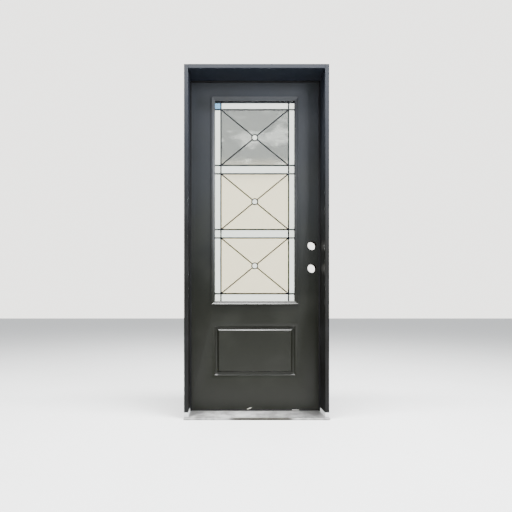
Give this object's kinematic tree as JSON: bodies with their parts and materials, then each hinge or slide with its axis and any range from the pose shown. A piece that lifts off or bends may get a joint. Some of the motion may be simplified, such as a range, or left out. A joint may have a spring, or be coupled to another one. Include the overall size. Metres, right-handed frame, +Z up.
{
  "type": "fiberglass entrance door with frame",
  "caption": "Inswing entrance door in its own frame: moulded slab with tall leaded glass over a raised panel, empty lock bores, butt hinges and a low aluminium sill.",
  "frame": {"origin": "middle of the footprint, on the floor under the sill, with the door closed", "axes": "+Z up, -Y towards the outside, where the picture was taken, +X to the right seen from outside; the hinges are at -X and the lock bores at +X"},
  "size_m": [0.844, 0.1986, 2.062],
  "materials": {
    "painted_slab": "factory painted fibreglass, satin, charcoal",
    "painted_frame": "painted jamb, satin, charcoal",
    "mill_aluminium": "mill finish extrusion",
    "threshold_cap": "dark composite",
    "foam_seal": "matt black foam and vinyl",
    "clear_glass": "clear tempered glass",
    "blackened_came": "blackened came",
    "steel_spacer": "dull steel",
    "hinge_steel": "satin plated steel"
  },
  "bodies": {
    "frame": {"hinge_jamb": "painted_frame", "lock_jamb": "painted_frame", "head_jamb": "painted_frame", "sill": "mill_aluminium", "threshold_cap": "threshold_cap", "head_seal": "foam_seal", "hinge_side_seal": "foam_seal", "lock_side_seal": "foam_seal", "hinge_1_jamb_leaf": "hinge_steel", "hinge_2_jamb_leaf": "hinge_steel", "hinge_3_jamb_leaf": "hinge_steel", "hinge_1_pin": "hinge_steel", "hinge_2_pin": "hinge_steel", "hinge_3_pin": "hinge_steel"},
    "door": {"slab": "painted_slab", "door_sweep": "foam_seal", "lite_frame_outside": "painted_slab", "lite_frame_inside": "painted_slab", "glass_outside": "clear_glass", "glass_inside": "clear_glass", "spacer_outside": "steel_spacer", "spacer_inside": "steel_spacer", "came_lattice": "blackened_came", "hinge_1_slab_leaf": "hinge_steel", "hinge_2_slab_leaf": "hinge_steel", "hinge_3_slab_leaf": "hinge_steel"}
  },
  "joints": [
    {"name": "door_swing", "type": "hinge", "parent": "frame", "child": "door", "pos_m": [-0.4075, 0.0933, 0], "axis": [0, 0, 1], "range_deg": [0, 110]}
  ]
}
